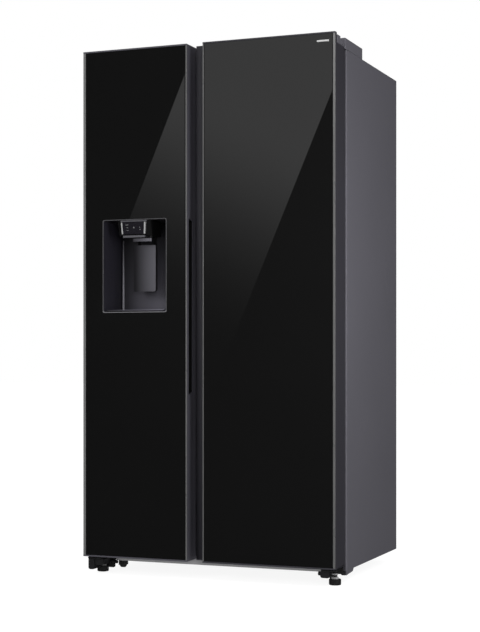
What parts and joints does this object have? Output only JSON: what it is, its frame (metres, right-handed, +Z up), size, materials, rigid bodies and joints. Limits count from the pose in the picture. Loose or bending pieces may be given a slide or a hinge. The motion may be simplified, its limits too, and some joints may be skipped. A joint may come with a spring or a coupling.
{
  "type": "side by side refrigerator",
  "caption": "Free-standing side by side refrigerator-freezer with black glass doors, recessed edge grips and a water and ice dispenser in the freezer door.",
  "frame": {"origin": "on the floor under the middle of the whole object, with the doors shut", "axes": "+Z up, +Y from the doors to the back, +X to the right of someone who faces the doors"},
  "size_m": [0.912, 0.716, 1.792],
  "materials": {
    "case_paint": "satin dark grey paint",
    "rear_steel": "galvanised sheet",
    "face_steel": "satin dark grey paint",
    "foam": "rigid foam",
    "liner_white": "smooth moulded",
    "shelf_glass": "clear",
    "fitting_trim": "satin",
    "coil_aluminium": "bare",
    "lamp_lens": "frosted",
    "fitting_grey": "moulded",
    "chassis_steel": "black coat",
    "kick_grey": "satin",
    "black_plastic": "moulded",
    "compressor_black": "gloss black",
    "hinge_steel": "plated",
    "cover_plastic": "fine grain",
    "bracket_black": "black coat",
    "black_glass": "polished, painted behind",
    "edge_trim": "satin anodised",
    "door_paint": "satin dark grey paint",
    "gasket_grey": "soft",
    "clear_bin": "clear moulded",
    "dispenser_grey": "satin moulded",
    "panel_gloss": "polished",
    "lever_metal": "brushed dark",
    "fan_plastic": "moulded",
    "roller_plastic": "hard nylon",
    "foot_plastic": "moulded"
  },
  "bodies": {
    "cabinet": {"outer_case": "case_paint", "back_panel": "rear_steel", "front_flange": "face_steel", "insulation_foam": "foam", "freezer_liner": "liner_white", "fridge_liner": "liner_white", "shelf_glass": "shelf_glass", "shelf_trims": "fitting_trim", "duct_covers": "liner_white", "evaporator_coil": "coil_aluminium", "interior_lamps": "lamp_lens", "ice_maker": "fitting_grey", "base_frame": "chassis_steel", "kick_plate": "kick_grey", "power_inlet": "black_plastic", "compressor": "compressor_black", "condenser_coil": "coil_aluminium", "machine_mouldings": "black_plastic", "top_hinges": "hinge_steel", "hinge_covers": "cover_plastic", "bottom_hinges": "bracket_black", "leg_brackets": "black_plastic", "roller_brackets": "chassis_steel"},
    "freezer_door": {"freezer_door_glass": "black_glass", "freezer_door_trims": "edge_trim", "freezer_door_shell": "door_paint", "freezer_door_foam": "foam", "freezer_door_liner": "liner_white", "freezer_door_gasket": "gasket_grey", "freezer_door_bins": "clear_bin", "freezer_handle_pocket": "black_plastic", "dispenser_housing": "dispenser_grey", "dispenser_trims": "edge_trim", "dispenser_head": "dispenser_grey", "dispenser_panel": "panel_gloss", "ice_chute": "black_plastic", "drip_tray": "dispenser_grey"},
    "fridge_door": {"fridge_door_glass": "black_glass", "fridge_door_trims": "edge_trim", "fridge_door_shell": "door_paint", "fridge_door_foam": "foam", "fridge_door_liner": "liner_white", "fridge_door_gasket": "gasket_grey", "fridge_door_bins": "clear_bin", "fridge_handle_pocket": "black_plastic", "badge_plate": "edge_trim"},
    "dispenser_lever": {"dispenser_lever": "lever_metal"},
    "chute_flap": {"chute_flap": "black_plastic"},
    "freezer_drawer_lower": {"freezer_drawer_lower": "clear_bin"},
    "freezer_drawer_upper": {"freezer_drawer_upper": "clear_bin"},
    "fridge_drawer_lower": {"fridge_drawer_lower": "clear_bin"},
    "fridge_drawer_upper": {"fridge_drawer_upper": "clear_bin"},
    "evaporator_fan": {"evaporator_fan": "fan_plastic"},
    "condenser_fan": {"condenser_fan": "fan_plastic"},
    "roller_front_left": {"roller_front_left": "roller_plastic"},
    "roller_front_right": {"roller_front_right": "roller_plastic"},
    "roller_rear_left": {"roller_rear_left": "roller_plastic"},
    "roller_rear_right": {"roller_rear_right": "roller_plastic"},
    "foot_left": {"foot_left": "foot_plastic"},
    "foot_right": {"foot_right": "foot_plastic"}
  },
  "joints": [
    {"name": "freezer_door_hinge", "type": "hinge", "parent": "cabinet", "child": "freezer_door", "pos_m": [-0.434, -0.306, 0], "axis": [0, 0, -1], "range_deg": [0, 130]},
    {"name": "fridge_door_hinge", "type": "hinge", "parent": "cabinet", "child": "fridge_door", "pos_m": [0.434, -0.306, 0], "axis": [0, 0, 1], "range_deg": [0, 130]},
    {"name": "dispenser_lever_push", "type": "hinge", "parent": "freezer_door", "child": "dispenser_lever", "pos_m": [-0.253, -0.269, 1.119], "axis": [1, 0, 0], "range_deg": [0, 10], "stiffness_Nm_per_rad": 1, "springref_deg": -5.73},
    {"name": "chute_flap_hinge", "type": "hinge", "parent": "freezer_door", "child": "chute_flap", "pos_m": [-0.253, -0.283, 1.146], "axis": [1, 0, 0], "range_deg": [0, 36]},
    {"name": "freezer_drawer_lower_slide", "type": "slide", "parent": "cabinet", "child": "freezer_drawer_lower", "axis": [0, -1, 0], "range_m": [0, 0.085]},
    {"name": "freezer_drawer_upper_slide", "type": "slide", "parent": "cabinet", "child": "freezer_drawer_upper", "axis": [0, -1, 0], "range_m": [0, 0.085]},
    {"name": "fridge_drawer_lower_slide", "type": "slide", "parent": "cabinet", "child": "fridge_drawer_lower", "axis": [0, -1, 0], "range_m": [0, 0.085]},
    {"name": "fridge_drawer_upper_slide", "type": "slide", "parent": "cabinet", "child": "fridge_drawer_upper", "axis": [0, -1, 0], "range_m": [0, 0.085]},
    {"name": "evaporator_fan_spin", "type": "hinge", "parent": "cabinet", "child": "evaporator_fan", "pos_m": [-0.25, 0.246, 1.12], "axis": [0, 1, 0], "continuous": true},
    {"name": "condenser_fan_spin", "type": "hinge", "parent": "cabinet", "child": "condenser_fan", "pos_m": [0.15, 0.25, 0.17], "axis": [1, 0, 0], "continuous": true},
    {"name": "roller_front_left_roll", "type": "hinge", "parent": "cabinet", "child": "roller_front_left", "pos_m": [-0.388, -0.18, 0.0215], "axis": [1, 0, 0], "continuous": true},
    {"name": "roller_rear_left_roll", "type": "hinge", "parent": "cabinet", "child": "roller_rear_left", "pos_m": [-0.345, 0.312, 0.018], "axis": [1, 0, 0], "continuous": true},
    {"name": "foot_left_turn", "type": "hinge", "parent": "cabinet", "child": "foot_left", "pos_m": [-0.424, -0.267, 0.01], "axis": [0, 0, 1], "continuous": true},
    {"name": "roller_front_right_roll", "type": "hinge", "parent": "cabinet", "child": "roller_front_right", "pos_m": [0.388, -0.18, 0.0215], "axis": [1, 0, 0], "continuous": true},
    {"name": "roller_rear_right_roll", "type": "hinge", "parent": "cabinet", "child": "roller_rear_right", "pos_m": [0.345, 0.312, 0.018], "axis": [1, 0, 0], "continuous": true},
    {"name": "foot_right_turn", "type": "hinge", "parent": "cabinet", "child": "foot_right", "pos_m": [0.424, -0.267, 0.01], "axis": [0, 0, 1], "continuous": true}
  ],
  "couplings": [
    {"joint": "chute_flap_hinge", "follows": "dispenser_lever_push", "ratio": 3.5}
  ]
}
